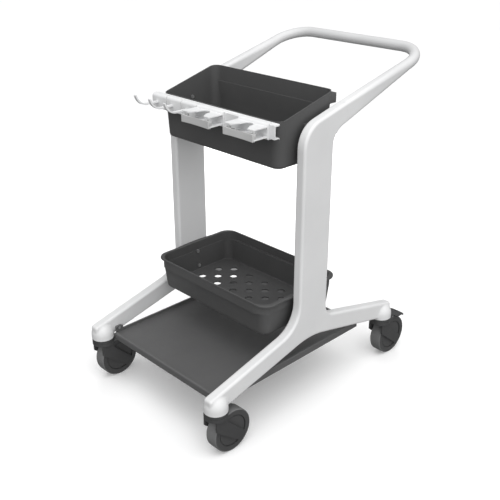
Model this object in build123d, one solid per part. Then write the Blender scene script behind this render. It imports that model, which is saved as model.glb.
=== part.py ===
from build123d import *

import math
import os

# A push trolley for cleaning tools. Millimetres, +X to the trolley's right, +Y to the rear (the handle),
# +Z up. The pieces are drawn with the four caster stems centred on x = y = 0 and the floor at z = 0.

# Casters
WHEEL_D = 125.0             # wheel over the tread
WHEEL_W = 38.0              # width of the tread
TREAD_T = 3.5               # thickness of the soft tread
TREAD_SHOULDER_R = 2.5      # rounding of the tread's shoulders
RING_GROOVE_R = 44.5        # middle of the groove in the wheel's side
RING_GROOVE_W = 3.0
RING_GROOVE_DEPTH = 4.0
RING_INSET = 0.5            # wheel's side ring inside the tread's width
DISC_RECESS = 2.0           # how far the wheel's disc lies inside its side ring
TRAIL = 42.5                # axle behind the swivel stem
HEADROOM = 17.0             # wheel top to the rim of the frame's socket
AXLE_R = 5.0
AXLE_SEAT = 4.0             # depth of the axle's blind seat in each fork cheek
BUSH_WALL = 3.0
BUSH_L = 12.0
HUB_R = 15.0
FORK_R = 32.5               # round fork head
FORK_SKIRT = 20.0           # height of the fork's round head
FORK_WALL = 4.0             # wall of the head's skirt
CHEEK_T = 6.0
CHEEK_END_R = 42.0          # rounded end of a cheek, about the axle
CHEEK_GAP = 1.5             # wheel side to cheek
CHEEK_HEAD_HALF = 20.0      # half the length of a cheek under the head
CHEEK_LOWER_DROP = 50.5     # front corner of a cheek below the head's top
CHEEK_UPPER_DROP = 34.5     # rear corner
CHEEK_LOWER_FALL = 39.0     # slope of a cheek's lower edge, degrees
CHEEK_UPPER_FALL = 45.0     # slope of its upper edge
HEAD_T = 14.5               # thickness of the head over the wheel
HEAD_GROOVE_DROP = 8.5      # ring groove below the head's top
HEAD_GROOVE_W = 1.6
HEAD_GROOVE_DEPTH = 1.2
JOURNAL_R = 8.0             # stem inside the swivel bearing
STEM_R = 10.0               # stem inside the frame's socket
STEM_L = 42.0               # stem above the socket's rim
RIVET_R = 11.0              # stem's lower head
RIVET_H = 7.5
BEARING_R = 22.0
BEARING_H = 9.0
SWIVEL_GAP = 0.3            # socket rim to fork, fork to stem head
RUN_FIT = 0.05              # radial clearance of a shaft that turns
SEAT_FIT = 0.05             # clearance of a piece that is pressed in or bolted

# Brake of a rear caster
PEDAL_HINGE_Y = 38.0        # hinge pin behind the stem
PEDAL_HINGE_DROP = 10.0     # hinge pin below the socket's rim
PEDAL_PIN_R = 2.5
PEDAL_BARREL_R = 4.5
PEDAL_TIP_Y = 99.0          # pedal's tip behind the stem
PEDAL_W = 66.0
PEDAL_T = 4.0
PEDAL_TIP_R = 27.0
PEDAL_FAN = 4.0             # length over which the pedal widens behind the hinge
PEDAL_BEND_Y = 70.0         # behind this the plate bends down
PEDAL_FALL = 14.0           # tip below the flat of the plate
PEDAL_TIP_T = 7.0           # thickness at the tip
PEDAL_LAP = 3.0             # plate's overlap with its neck
PEDAL_RIBS = 3
PEDAL_RIB_H = 1.0
PEDAL_RIB_W = 2.5
PEDAL_RIB_L = 34.0
PEDAL_RIB_PITCH = 8.0
LUG_IN = 16.0               # inner face of the hinge lugs on the fork
LUG_T = 6.0
LUG_GAP = 1.0               # pedal's wide part behind the lugs
PAD_L = 18.0                # brake pad along the pedal
PAD_W = 22.0
PAD_T = 2.5
PAD_START = 10.0            # pad behind the hinge pin

# Side frames
WHEELBASE = 700.0           # caster stem to caster stem, front to rear
TRACK = 508.0               # caster stem to caster stem, side to side
FRAME_T = 30.0
FRAME_EDGE_R = 7.5
POST_FRONT_Y = -50.0
POST_REAR_Y = 62.0
LEG_END_H = 51.0            # leg's top over the socket rim, at the stem
LEG_END_LIFT = 2.3          # leg's underside over the socket rim, at the socket
LEG_SLOPE = 14.3            # fall of the leg's top, degrees
ARCH_H = 81.0               # meeting point of the two undersides over the socket rim
ARCH_R = 230.0
LEG_FRONT_R = 85.0          # fillet between post and front leg
LEG_REAR_R = 45.0           # fillet between post and rear leg
BEND_OUTER_R = 72.0         # bend from post to handle, front side
BEND_INNER_R = 50.0
SOCKET_R = 33.0
SOCKET_DOME_H = 46.0
LEG_LAP = 10.0              # leg's underside levels out this far inside the socket
LEG_NOSE = 30.0             # leg runs on over its socket, past the stem
LEG_NOSE_R = 8.0
SOCKET_BLEND_R = 10.0       # blend between a leg and its socket

# Handle
HANDLE_Y = 470.0            # crossbar behind the middle of the wheelbase
HANDLE_H = 811.5            # crossbar over the socket rim
HANDLE_SLOPE = 17.0         # rise of the arms, degrees
HANDLE_BAR_T = 30.4         # depth of the crossbar
HANDLE_CORNER_R = 86.0
HANDLE_STRAIGHT = 6.0       # straight run of round section before the corner
BAR_EDGE_R = 14.9
ARM_ROOT_Y = 110.0          # seam between post and handle arm
ARM_ROOT_D = 52.4           # depth of the arm at that seam
SEAM_GAP = 0.2
TONGUE_W = 14.0
TONGUE_D = 32.0
TONGUE_L = 60.0
TONGUE_FIT = 0.2

# Bolts through the ends of the bins
BOLT_R = 3.0
BOLT_HEAD_R = 5.5
BOLT_HEAD_H = 3.5
BOLT_SEAT_MARGIN = 1.0      # spot face beyond the bolt head
BOLT_GRIP = 18.0            # bolt inside the post
BOLT_PITCH = 48.0
PAD_BLOCK_W = 40.0          # mounting pad on the end of a bin
PAD_BLOCK_MARGIN = 13.0     # pad beyond its bolts
POST_GAP = 0.2              # clearance between a bin or shelf and the frame

# Top bin
TOP_BIN_DROP = 231.5        # underside below the handle's crossbar
TOP_BIN_H = 126.0           # height of its front
TOP_BIN_RISE = 48.0         # rear rim over front rim
TOP_BIN_END_GAP = 9.0       # rim to post
TOP_BIN_DEPTH = 208.0       # outside, at the rim, front to rear
TOP_BIN_DRAFT = 7.0         # walls lean in by this much at the bottom
TOP_BIN_R = 26.0
TOP_BIN_BOTTOM_R = 10.0
TOP_BIN_RAMP_FRONT = 20.0   # side rim starts to rise this far behind the front
TOP_BIN_RAMP_REAR = 12.0
TOP_BIN_RAMP_R = 60.0       # blends at both ends of the rise
TOP_BOLT_Z = 46.0           # lower bolt over the bin's underside
REAR_BAND_H = 26.0          # band along the outside of the rear wall
REAR_BAND_T = 10.0
REAR_BAND_DROP = 8.0        # band below the rear rim
REAR_BAND_R = 3.0
REAR_LEDGE = 4.0            # step inside the rear wall
REAR_LEDGE_RISE = 4.0       # that step over the front rim

# Lower bin
LOW_BIN_Z = 112.0           # underside over the socket rim
LOW_BIN_H = 98.0
LOW_BIN_END_GAP = 5.0       # rim to post
LOW_BIN_DEPTH = 302.0       # outside, at the rim, front to rear
LOW_LIP = 8.0               # lip stands out at the ends
LOW_LIP_FRONT = 1.0         # and at front and rear
LOW_LIP_H = 8.0
LOW_LIP_TOP_R = 2.0
LOW_LIP_UNDER_R = 5.0
LOW_BIN_STEP = 2.0          # band under the lip stands out this far at the ends
LOW_BIN_RECESS = 9.0        # and over the front and rear walls
LOW_BAND_H = 30.0
LOW_BAND_R = 44.0
LOW_BIN_DRAFT = 6.0
LOW_BIN_R = 26.0
LOW_BIN_BOTTOM_R = 6.0
LOW_BOLT_Z = 18.0
EAR_W = 146.0               # bow of the lip that reaches to the post
HOLE_R = 11.5
HOLE_PITCH_X = 35.0         # half the spacing along a row
HOLE_PITCH_Y = 34.5         # row to row
HOLE_ROWS = 8
HOLE_EDGE = 6.0             # least floor between a hole and the wall

BIN_WALL = 3.0
BIN_FLOOR = 4.0

# Base shelf
SHELF_FRONT_GAP = 23.0      # front edge behind the front stems
SHELF_REAR_GAP = 100.0      # rear edge in front of the rear stems
SHELF_DROP = 5.0            # underside below the socket rim
SHELF_H = 20.0              # underside to the top of the rim
SHELF_RIM_H = 8.0           # rim over the carrying face
SHELF_RIM_W = 8.0
SHELF_WELL_R = 8.0          # corners of the carrying face
SHELF_PLATE = 4.0
SHELF_WALL = 4.0
SHELF_LIP_R = 4.0           # rounded outer edge of the rim
SHELF_RIB_T = 3.0
SHELF_X_RIBS = 3
SHELF_Y_RIBS = 4
SHELF_NOTCH_R = 39.0        # front corners cut back around the sockets
SHELF_TAB_W = 26.0          # tab that stands against the leg
SHELF_TAB_MARGIN = 6.0      # tab over its screw
SHELF_TAB_R = 6.0
SHELF_FRONT_SCREW = 46.0    # front screws behind the front stems
SHELF_REAR_SCREW = 20.0     # rear screws in front of the shelf's rear edge
SHELF_SCREW_RISE = 13.0     # screws over the leg's underside
SCREW_R = 2.5
SCREW_HEAD_R = 4.5
SCREW_HEAD_H = 2.5
SHELF_SCREW_GRIP = 16.0

# Accessory rail and what it carries
RAIL_L = 472.0
RAIL_SHIFT = 4.0            # rail's middle left of the trolley's middle
RAIL_H = 35.0
RAIL_TOP_DROP = 3.0         # rail's top below the front rim of the top bin
RAIL_T = 3.0
RAIL_DEPTH = 17.0
RAIL_FLARE = 2.0            # flanges flare outwards at their tips
RAIL_BOSS_R = 7.0
RAIL_SCREWS = 3
RAIL_SCREW_PITCH = 150.0
CLIP_T = 6.0                # clip that grips the rail, at its front
CLIP_LIP_T = 3.0
CLIP_LIP = 10.0
CLIP_FIT = 0.15
CLIP_R = 5.0
CLIP_TOP_R = 9.0            # rolled upper edge of a clip
HOOK_CLIP_W = 60.0
HOOK_PITCH = 63.0
HOOK_FIRST = 24.0           # first hook from the rail's left end
HOOK_OFFSET = 7.0           # hook left of the middle of its clip
HOOK_W = 9.0
HOOK_T = 4.5
HOOK_REACH = 38.0           # straight part of a hook
HOOK_BEND_R = 38.0
HOOK_BEND = 76.0            # bend of a hook's tip, degrees
HOOK_DROP = 3.0             # hook below the rail's middle
HOLDER_W = 104.0
HOLDER_FIRST = 241.0        # middle of the first tool holder from the rail's left end
HOLDER_PITCH = 160.0
HOLDER_REACH = 47.0
HOLDER_H = 28.0
HOLDER_PLATE = 3.0
HOLDER_CORNER_R = 4.0
NOTCH_R = 17.0
NOTCH_DEPTH = 44.0
NOTCH_STRAIGHT = 5.0        # straight sides before the mouth widens
NOTCH_MOUTH = 62.0
HOLDER_PIN_R = 3.0
HOLDER_PIN_INSET = 8.0
HOLDER_PIN_TAIL = 4.0       # pin below the lower plate
BAND_T = 4.5                # rubber grip band
BAND_H = 20.5
BAND_DROP = 5.5             # band's middle below the holder's
BAND_SAG = 4.0              # hollow of the band's front
BAND_OVERHANG = 9.0         # band beyond its pins
BAND_EYE_WALL = 2.5
BAND_FIT = 0.2

# Values that follow from the sizes above
WHEEL_R = WHEEL_D / 2
RIM_Z = WHEEL_D + HEADROOM
STEM_X = TRACK / 2
STEM_Y = WHEELBASE / 2
UNDER_END_Y = STEM_Y - SOCKET_R + LEG_LAP
POST_IN_X = STEM_X - FRAME_T / 2
HEAD_TOP_Z = RIM_Z - SWIVEL_GAP
HEAD_UNDER_Z = HEAD_TOP_Z - HEAD_T
CHEEK_IN = WHEEL_W / 2 + CHEEK_GAP
HUB_HALF = CHEEK_IN - 2 * SWIVEL_GAP
HANDLE_Z = RIM_Z + HANDLE_H
POST_MID_Y = (POST_FRONT_Y + POST_REAR_Y) / 2
RISE = math.tan(math.radians(HANDLE_SLOPE))
ARM_DIR = (math.cos(math.radians(HANDLE_SLOPE)), math.sin(math.radians(HANDLE_SLOPE)))
TOP_RIM_Z = HANDLE_Z - TOP_BIN_DROP + TOP_BIN_H
FRONT_END_Y = -STEM_Y - SOCKET_R
REAR_END_Y = HANDLE_Y + HANDLE_BAR_T / 2
ORIGIN_Y = (FRONT_END_Y + REAR_END_Y) / 2
WHEEL_PLANE = Plane((0, 0, 0), x_dir=(0, 0, 1), z_dir=(0, 1, 0))    # radius up, width along X
OVERCUT = 1.0               # how far a cutting shape runs past the face it cuts
ON_FACE = 0.01              # an edge this close to a face lies on it
AT_SEAM = 0.1               # an edge this close to the seam's middle belongs to it


# Shared shapes
def side_face(corners):
    """Closed face in the side view from (y, z, radius) corners; radius 0 leaves a corner sharp."""
    face = make_face(Polyline([(y, z) for y, z, radius in corners], close=True))
    for y, z, radius in corners:
        if radius:
            corner = face.vertices().sort_by_distance((y, z, 0))[0]
            face = fillet(corner, radius)
    return Plane.YZ * face


def cylinder_z(radius, low, high, x=0.0, y=0.0):
    return Pos(x, y, (low + high) / 2) * Cylinder(radius, high - low)


def cylinder_x(radius, low, high, y=0.0, z=0.0):
    return Pos((low + high) / 2, y, z) * Rot(0, 90, 0) * Cylinder(radius, high - low)


def cylinder_y(radius, low, high, x=0.0, z=0.0):
    return Pos(x, (low + high) / 2, z) * Rot(90, 0, 0) * Cylinder(radius, high - low)


def block(low, high):
    """Box between two opposite corners."""
    size = [high[i] - low[i] for i in range(3)]
    middle = [(high[i] + low[i]) / 2 for i in range(3)]
    return Pos(*middle) * Box(*size)


def turned(points, axis):
    """Solid of revolution from (radius, height) points about the X or Z axis."""
    plane = Plane.XZ if axis == Axis.Z else WHEEL_PLANE
    return revolve(plane * make_face(Polyline(points, close=True)), axis)


def tray(half_x, half_y, corner_r, draft, low, high, bottom_r):
    """Tapered solid with rounded corners, (half_x, half_y) at the top and smaller by draft at the bottom."""
    bottom = Plane.XY.offset(low) * RectangleRounded(2 * (half_x - draft), 2 * (half_y - draft), corner_r)
    top = Plane.XY.offset(high) * RectangleRounded(2 * half_x, 2 * half_y, corner_r)
    body = loft([bottom, top], ruled=True)
    return fillet(body.faces().sort_by(Axis.Z)[0].edges(), bottom_r)


def arm_point(y):
    """Point on the centre line of the handle's arms, as (y, z)."""
    return (y, HANDLE_Z - (HANDLE_Y - y) * RISE)


def arm_plane(x, y):
    """Plane square to an arm of the handle."""
    _, z = arm_point(y)
    return Plane((x, y, z), x_dir=(1, 0, 0), z_dir=(0, ARM_DIR[0], ARM_DIR[1]))


# Side frames: one moulding each, post, two legs and two caster sockets
def side_frame():
    """Right-hand side frame, drawn about x = 0."""
    leg_top = RIM_Z + LEG_END_H
    leg_under = RIM_Z + LEG_END_LIFT
    fall = math.tan(math.radians(LEG_SLOPE))
    nose_y = STEM_Y + LEG_NOSE
    nose_top = leg_top - fall * LEG_NOSE
    root = arm_point(ARM_ROOT_Y)
    seam = arm_point(HANDLE_Y - HANDLE_CORNER_R - HANDLE_STRAIGHT)
    up = (-ARM_DIR[1], ARM_DIR[0])

    def edge_line(point, end, side):
        """Line along the arm's top (side 1) or underside (side -1), as a point and a slope."""
        start = [point[i] + side * up[i] * ARM_ROOT_D / 2 for i in range(2)]
        stop = [end[i] + side * up[i] * HANDLE_BAR_T / 2 for i in range(2)]
        return start, (stop[1] - start[1]) / (stop[0] - start[0])

    arm_top, top_slope = edge_line(root, seam, 1)
    arm_low, low_slope = edge_line(root, seam, -1)
    outline = side_face([
        (-nose_y, leg_under, 0),
        (-UNDER_END_Y, leg_under, 0),
        (0, RIM_Z + ARCH_H, ARCH_R),
        (UNDER_END_Y, leg_under, 0),
        (nose_y, leg_under, 0),
        (nose_y, nose_top, LEG_NOSE_R),
        (POST_REAR_Y, leg_top + fall * (STEM_Y - POST_REAR_Y), LEG_REAR_R),
        (POST_REAR_Y, arm_low[1] - low_slope * (arm_low[0] - POST_REAR_Y), BEND_INNER_R),
        (arm_low[0], arm_low[1], 0),
        (arm_top[0], arm_top[1], 0),
        (POST_FRONT_Y, arm_top[1] - top_slope * (arm_top[0] - POST_FRONT_Y), BEND_OUTER_R),
        (POST_FRONT_Y, leg_top + fall * (STEM_Y + POST_FRONT_Y), LEG_FRONT_R),
        (-nose_y, nose_top, LEG_NOSE_R),
    ])
    blade = extrude(outline, FRAME_T / 2, both=True)

    def is_long_edge(edge):
        middle = edge.center()
        on_side = abs(abs(middle.X) - FRAME_T / 2) < ON_FACE
        at_seam = abs(middle.Y - root[0]) + abs(middle.Z - root[1]) < AT_SEAM
        return on_side and not at_seam

    blade = fillet(blade.edges().filter_by(is_long_edge), FRAME_EDGE_R)
    for y, away in ((-STEM_Y, -90), (STEM_Y, 90)):
        blade += Pos(0, y, 0) * Rot(0, 0, away) * socket_dome()
        blade = fillet(socket_joint(blade, y), SOCKET_BLEND_R)
    for y in (-STEM_Y, STEM_Y):
        blade -= cylinder_z(STEM_R + SEAT_FIT, RIM_Z - OVERCUT, RIM_Z + STEM_L + OVERCUT, y=y)
    return blade - tongue(0, TONGUE_FIT)


def socket_joint(frame, y):
    """Edges on the socket at y where the leg runs into it, clear of the leg's middle plane."""
    shoulder = RIM_Z + SOCKET_DOME_H - SOCKET_R
    joint = []
    for edge in frame.edges():
        points = [edge.position_at(i / 8) for i in range(9)]
        rounds = [math.hypot(p.X, p.Y - y, max(p.Z - shoulder, 0)) for p in points]
        reach = max(abs(p.X) for p in points)
        on_socket = max(abs(r - SOCKET_R) for r in rounds) < SEAT_FIT
        if on_socket and SEAT_FIT < reach < FRAME_T / 2 + SEAT_FIT:
            joint.append(edge)
    return joint


def socket_dome():
    """Round-topped cylinder that closes over a caster stem."""
    shoulder = RIM_Z + SOCKET_DOME_H - SOCKET_R
    top = RIM_Z + SOCKET_DOME_H
    arc = CenterArc((0, shoulder), SOCKET_R, 0, 90)
    wall = Polyline((0, top), (0, RIM_Z), (SOCKET_R, RIM_Z), (SOCKET_R, shoulder))
    return revolve(Plane.XZ * make_face([wall, arc]), Axis.Z)


def tongue(x, fit):
    """Tongue inside the seam between a post and the handle, larger all round by fit."""
    return arm_plane(x, ARM_ROOT_Y) * Box(TONGUE_W + 2 * fit, TONGUE_D + 2 * fit, TONGUE_L + 2 * fit)


def with_bolt_holes(frame, side):
    """Frame moved to its side of the trolley (1 right, -1 left), with holes for the bolts and screws."""
    frame = Pos(side * STEM_X, 0, 0) * frame
    for z in bolt_heights():
        reach = POST_IN_X + BOLT_GRIP + OVERCUT
        frame -= end_cylinder(BOLT_R + SEAT_FIT, POST_IN_X - OVERCUT, reach, side, POST_MID_Y, z)
    for y, z in shelf_screw_places():
        reach = POST_IN_X + SHELF_SCREW_GRIP + OVERCUT
        frame -= end_cylinder(SCREW_R + SEAT_FIT, POST_IN_X - OVERCUT, reach, side, y, z)
    return frame


def bolt_heights():
    """Heights of the bolts that hold the two bins."""
    lower = RIM_Z + LOW_BIN_Z + LOW_BOLT_Z
    upper = TOP_LOW_Z + TOP_BOLT_Z
    return [lower, lower + BOLT_PITCH, upper, upper + BOLT_PITCH]


def end_cylinder(radius, near, far, side, y, z):
    """Cylinder along X from near to far, measured from the middle of the trolley towards one side."""
    low, high = sorted((side * near, side * far))
    return cylinder_x(radius, low, high, y, z)


# Handle: two arms that change from a flat to a round section, and the crossbar between them
def handle():
    seam_y = HANDLE_Y - HANDLE_CORNER_R - HANDLE_STRAIGHT
    straight = (HANDLE_Y - seam_y) / ARM_DIR[0]
    loop = Plane((0, HANDLE_Y, HANDLE_Z), x_dir=(1, 0, 0), z_dir=(0, -ARM_DIR[1], ARM_DIR[0]))
    path = loop * FilletPolyline(
        (STEM_X, -straight), (STEM_X, 0), (-STEM_X, 0), (-STEM_X, -straight), radius=HANDLE_CORNER_R
    )
    bar_end = RectangleRounded(FRAME_T, HANDLE_BAR_T, BAR_EDGE_R)
    body = sweep(arm_plane(STEM_X, seam_y) * bar_end, path=path)
    for x in (STEM_X, -STEM_X):
        root = arm_plane(x, ARM_ROOT_Y).offset(SEAM_GAP) * RectangleRounded(FRAME_T, ARM_ROOT_D, FRAME_EDGE_R)
        body += loft([root, arm_plane(x, seam_y) * bar_end], ruled=True)
    for x in (STEM_X, -STEM_X):
        body -= tongue(x, TONGUE_FIT)
    return body


# Bins
def mounting_pads(body, half_x, low_bolt):
    """Adds the pad on each end of a bin that stands against the post, from inside the wall outwards."""
    for side in (1, -1):
        low, high = sorted((side * half_x, side * (POST_IN_X - POST_GAP)))
        half = PAD_BLOCK_W / 2
        bottom = low_bolt - PAD_BLOCK_MARGIN
        top = low_bolt + BOLT_PITCH + PAD_BLOCK_MARGIN
        body += block((low, POST_MID_Y - half, bottom), (high, POST_MID_Y + half, top))
    return body


def bolt_holes(body, low_bolt):
    for side in (1, -1):
        for z in (low_bolt, low_bolt + BOLT_PITCH):
            body -= end_cylinder(BOLT_R + SEAT_FIT, 0, POST_IN_X, side, POST_MID_Y, z)
    return body


def bin_bolts(wall_in, low_bolt):
    """Four pan-head bolts from inside a bin, through its end walls and into the posts."""
    bolts = []
    for side in (1, -1):
        for z in (low_bolt, low_bolt + BOLT_PITCH):
            seat = wall_in(z)
            head = end_cylinder(BOLT_HEAD_R, seat - BOLT_HEAD_H, seat, side, POST_MID_Y, z)
            shank = end_cylinder(BOLT_R, seat - BOLT_HEAD_H / 2, POST_IN_X + BOLT_GRIP, side, POST_MID_Y, z)
            bolts.append(head + shank)
    return bolts


def bolt_seat(body, wall_in, low_bolt):
    """Flat spot faces for the bolt heads, cut into the leaning end walls."""
    for side in (1, -1):
        for z in (low_bolt, low_bolt + BOLT_PITCH):
            body -= end_cylinder(BOLT_HEAD_R + BOLT_SEAT_MARGIN, 0, wall_in(z), side, POST_MID_Y, z)
    return body


TOP_HALF_X = POST_IN_X - TOP_BIN_END_GAP
TOP_HALF_Y = TOP_BIN_DEPTH / 2
TOP_LOW_Z = HANDLE_Z - TOP_BIN_DROP
TOP_HIGH_Z = TOP_RIM_Z + TOP_BIN_RISE
LOW_HALF_X = POST_IN_X - LOW_BIN_END_GAP
LOW_HALF_Y = LOW_BIN_DEPTH / 2
LOW_LOW_Z = RIM_Z + LOW_BIN_Z
LOW_HIGH_Z = LOW_LOW_Z + LOW_BIN_H
LOW_STEP_Z = LOW_HIGH_Z - LOW_BAND_H
LOW_BAND_X = LOW_HALF_X - LOW_LIP
LOW_BAND_Y = LOW_HALF_Y - LOW_LIP_FRONT


def top_wall_in(z):
    """Spot face inside the top bin's end wall at height z."""
    lean = TOP_BIN_DRAFT * (TOP_HIGH_Z - z) / (TOP_HIGH_Z - TOP_LOW_Z)
    return TOP_HALF_X - lean - BIN_WALL / 2


def low_wall_in(z):
    """Spot face inside the lower bin's end wall at height z."""
    lean = LOW_BIN_DRAFT * (LOW_STEP_Z - z) / (LOW_STEP_Z - LOW_LOW_Z)
    return LOW_BAND_X - LOW_BIN_STEP - lean - BIN_WALL / 2


def top_bin():
    """Small bin whose side rims climb from the front rim to a higher rear rim."""
    low_bolt = TOP_LOW_Z + TOP_BOLT_Z
    body = tray(TOP_HALF_X, TOP_HALF_Y, TOP_BIN_R, TOP_BIN_DRAFT, TOP_LOW_Z, TOP_HIGH_Z, TOP_BIN_BOTTOM_R)
    body = mounting_pads(body, TOP_HALF_X - TOP_BIN_DRAFT - BIN_WALL, low_bolt)
    band_top = TOP_HIGH_Z - REAR_BAND_DROP
    band_half_x = TOP_HALF_X - BIN_WALL
    band = block((-band_half_x, TOP_HALF_Y - TOP_BIN_R, band_top - REAR_BAND_H),
                 (band_half_x, TOP_HALF_Y + REAR_BAND_T, band_top))
    body += fillet(band.faces().sort_by(Axis.Y)[-1].edges(), REAR_BAND_R)
    lean = TOP_BIN_DRAFT * (TOP_HIGH_Z - TOP_LOW_Z - BIN_FLOOR) / (TOP_HIGH_Z - TOP_LOW_Z)
    inside = tray(TOP_HALF_X - BIN_WALL, TOP_HALF_Y - BIN_WALL, TOP_BIN_R - BIN_WALL, lean,
                  TOP_LOW_Z + BIN_FLOOR, TOP_HIGH_Z, TOP_BIN_BOTTOM_R - BIN_WALL)
    inside -= block((-TOP_HALF_X, TOP_HALF_Y - BIN_WALL - REAR_LEDGE, TOP_LOW_Z),
                    (TOP_HALF_X, TOP_HALF_Y, TOP_RIM_Z + REAR_LEDGE_RISE))
    body -= inside
    ramp_front = -TOP_HALF_Y + TOP_BIN_RAMP_FRONT
    ramp_rear = TOP_HALF_Y - TOP_BIN_RAMP_REAR
    far_y = 2 * TOP_HALF_Y
    above = TOP_HIGH_Z + OVERCUT
    ramp = FilletPolyline((-far_y, TOP_RIM_Z), (ramp_front, TOP_RIM_Z), (ramp_rear, TOP_HIGH_Z),
                          (far_y, TOP_HIGH_Z), radius=TOP_BIN_RAMP_R)
    over = Polyline((far_y, TOP_HIGH_Z), (far_y, above), (-far_y, above), (-far_y, TOP_RIM_Z))
    cut = make_face(list(ramp.edges()) + list(over.edges()))
    body -= extrude(Plane.YZ * cut, 2 * TOP_HALF_X, both=True)
    body = bolt_seat(body, top_wall_in, low_bolt)
    body = bolt_holes(body, low_bolt)
    for x, z in rail_screw_places():
        body -= cylinder_y(SCREW_R + SEAT_FIT, -TOP_HALF_Y - OVERCUT, -TOP_HALF_Y / 2, x, z)
    return body


def low_bin():
    """Wide bin with a lip bowed out to the posts, a band over recessed walls and a perforated floor."""
    low_bolt = LOW_LOW_Z + LOW_BOLT_Z
    wall_x = LOW_BAND_X - LOW_BIN_STEP
    wall_y = LOW_BAND_Y - LOW_BIN_RECESS
    body = tray(wall_x, wall_y, LOW_BIN_R, LOW_BIN_DRAFT, LOW_LOW_Z, LOW_STEP_Z, LOW_BIN_BOTTOM_R)
    body = mounting_pads(body, wall_x - LOW_BIN_DRAFT - BIN_WALL, low_bolt)
    band = RectangleRounded(2 * LOW_BAND_X, 2 * LOW_BAND_Y, LOW_BAND_R)
    body += extrude(Plane.XY.offset(LOW_STEP_Z) * band, LOW_BAND_H)
    lip_z = LOW_HIGH_Z - LOW_LIP_H
    lip = RectangleRounded(2 * LOW_HALF_X, 2 * LOW_HALF_Y, LOW_BIN_R + LOW_BIN_STEP + LOW_LIP)
    for side in (1, -1):
        lip += bow(side)
    lip = extrude(Plane.XY.offset(lip_z) * lip, LOW_LIP_H)
    lip = fillet(lip.faces().sort_by(Axis.Z)[0].edges(), LOW_LIP_UNDER_R)
    body += fillet(lip.faces().sort_by(Axis.Z)[-1].edges(), LOW_LIP_TOP_R)
    lean = LOW_BIN_DRAFT * (LOW_STEP_Z - LOW_LOW_Z - BIN_FLOOR) / (LOW_STEP_Z - LOW_LOW_Z)
    body -= tray(wall_x - BIN_WALL, wall_y - BIN_WALL, LOW_BIN_R - BIN_WALL, lean,
                 LOW_LOW_Z + BIN_FLOOR, LOW_STEP_Z + BIN_WALL, LOW_BIN_BOTTOM_R - BIN_WALL)
    mouth = RectangleRounded(2 * (LOW_BAND_X - BIN_WALL), 2 * (LOW_BAND_Y - BIN_WALL), LOW_BAND_R - BIN_WALL)
    body -= extrude(Plane.XY.offset(LOW_STEP_Z + BIN_WALL) * mouth, LOW_BAND_H)
    body -= floor_holes(wall_x - LOW_BIN_DRAFT - BIN_WALL, wall_y - LOW_BIN_DRAFT - BIN_WALL)
    body = bolt_seat(body, low_wall_in, low_bolt)
    return bolt_holes(body, low_bolt)


def bow(side):
    """Plan of the bowed part of the lip at one end."""
    inner = side * LOW_BAND_X
    outer = side * LOW_HALF_X
    front = POST_MID_Y - EAR_W / 2
    rear = POST_MID_Y + EAR_W / 2
    arc = ThreePointArc((outer, front), (side * (POST_IN_X - POST_GAP), POST_MID_Y), (outer, rear))
    back = Polyline((outer, rear), (inner, rear), (inner, front), (outer, front))
    return make_face([arc] + list(back.edges()))


def floor_holes(half_x, half_y):
    """Staggered rows of round holes that fit inside the floor."""
    places = []
    for row in range(HOLE_ROWS):
        y = (row - (HOLE_ROWS - 1) / 2) * HOLE_PITCH_Y
        shift = 1 if row % 2 else 0
        count = math.floor((half_x - HOLE_R - HOLE_EDGE) / HOLE_PITCH_X)
        steps = [step for step in range(-count, count + 1) if step % 2 == shift]
        if abs(y) < half_y - HOLE_R:
            places += [(step * HOLE_PITCH_X, y) for step in steps]
    holes = Sketch() + [Pos(x, y) * Circle(HOLE_R) for x, y in places]
    return extrude(Plane.XY.offset(LOW_LOW_Z - OVERCUT) * holes, BIN_FLOOR + 2 * OVERCUT)


# Base shelf between the legs
SHELF_FRONT_Y = -STEM_Y + SHELF_FRONT_GAP
SHELF_REAR_Y = STEM_Y - SHELF_REAR_GAP
SHELF_HALF_X = POST_IN_X - POST_GAP


def leg_under_z(y):
    """Height of the legs' underside at y."""
    fall = (ARCH_H - LEG_END_LIFT) / UNDER_END_Y
    return RIM_Z + ARCH_H - fall * abs(y)


def shelf_screw_places():
    """Screws of one side, as (y, z)."""
    places = []
    for y in (-STEM_Y + SHELF_FRONT_SCREW, SHELF_REAR_Y - SHELF_REAR_SCREW):
        places.append((y, leg_under_z(y) + SHELF_SCREW_RISE))
    return places


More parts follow.
